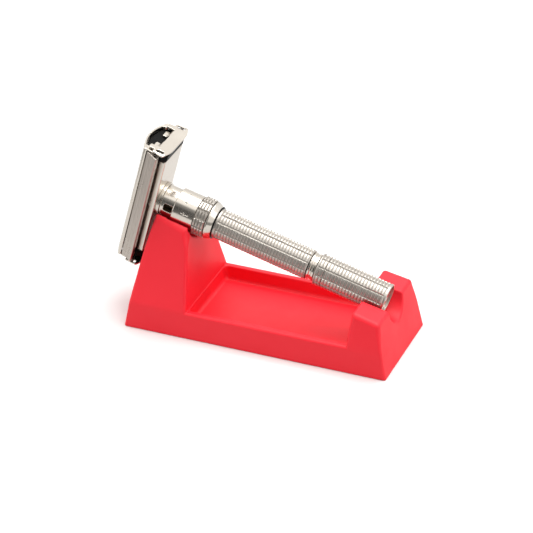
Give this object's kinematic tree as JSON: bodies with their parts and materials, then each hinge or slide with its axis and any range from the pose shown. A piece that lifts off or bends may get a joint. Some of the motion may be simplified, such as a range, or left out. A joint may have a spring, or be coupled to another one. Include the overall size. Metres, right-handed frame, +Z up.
{
  "type": "razor stand with a safety razor",
  "caption": "One-piece tray stand with a tall and a low grooved post, holding an adjustable twist-to-open double-edge safety razor at a slant.",
  "frame": {"origin": "centre of the stand's flat underside", "axes": "+Z up; +X along the stand towards the low post and the razor's knob end; +Y across it, completing a right-handed frame"},
  "size_m": [0.1023, 0.037, 0.0657],
  "materials": {
    "red_plastic": "matte red moulded plastic with a fine satin grain and softly rounded edges",
    "nickel": "polished warm nickel plate, fine-patterned on the grips",
    "brushed_nickel": "nickel plate brushed along the bar",
    "black_plastic": "semi-gloss black",
    "brass": "plain machined brass, inside only",
    "steel": "plain steel, inside only"
  },
  "bodies": {
    "stand": {"stand_body": "red_plastic"},
    "razor": {"handle_ferrule": "nickel", "handle_barrel": "nickel", "spacer_ring": "black_plastic", "neck_tube": "nickel", "neck_flange": "nickel", "tension_spring": "steel", "click_ring": "steel", "base_channel": "nickel", "blade_platform": "nickel", "end_block_lower": "black_plastic", "end_block_upper": "black_plastic", "end_plate_lower": "nickel", "end_plate_upper": "nickel"},
    "dial": {"dial_ring": "nickel", "dial_collar": "nickel", "dial_sleeve": "nickel"},
    "guard": {"guard_bar_near": "brushed_nickel", "guard_bar_far": "brushed_nickel", "guard_bridge": "nickel", "guard_plunger": "brass"},
    "knob": {"knob_sleeve": "nickel", "knob_end_cap": "nickel", "knob_drive_nut": "brass"},
    "rod": {"centre_rod": "steel", "door_lifter": "nickel"},
    "door_near": {"door_near": "nickel"},
    "door_far": {"door_far": "nickel"}
  },
  "joints": [
    {"name": "razor_lift", "type": "slide", "parent": "stand", "child": "razor", "axis": [0.2669, 0, 0.9637], "range_m": [0, 0.06]},
    {"name": "knob_turn", "type": "hinge", "parent": "razor", "child": "knob", "pos_m": [0.02942, 0, 0.02243], "axis": [-0.9637, 0, 0.2669], "range_deg": [0, 540]},
    {"name": "rod_slide", "type": "slide", "parent": "razor", "child": "rod", "axis": [-0.9637, 0, 0.2669], "range_m": [0, 0.003]},
    {"name": "door_near_swing", "type": "hinge", "parent": "razor", "child": "door_near", "pos_m": [-0.04151, -0.0088, 0.04207], "axis": [0.2669, 0, 0.9637], "range_deg": [0, 85]},
    {"name": "door_far_swing", "type": "hinge", "parent": "razor", "child": "door_far", "pos_m": [-0.04151, 0.0088, 0.04207], "axis": [-0.2669, 0, -0.9637], "range_deg": [0, 85]},
    {"name": "dial_turn", "type": "hinge", "parent": "razor", "child": "dial", "pos_m": [-0.02647, 0, 0.03791], "axis": [-0.9637, 0, 0.2669], "range_deg": [0, 240]},
    {"name": "guard_slide", "type": "slide", "parent": "razor", "child": "guard", "axis": [-0.9637, 0, 0.2669], "range_m": [-0.0006, 0]}
  ],
  "couplings": [
    {"joint": "rod_slide", "follows": "knob_turn", "m_per_rad": 0.000318},
    {"joint": "door_near_swing", "follows": "knob_turn", "ratio": 0.1574},
    {"joint": "door_far_swing", "follows": "knob_turn", "ratio": 0.1574},
    {"joint": "dial_turn", "follows": "guard_slide", "rad_per_m": -6981.3}
  ]
}
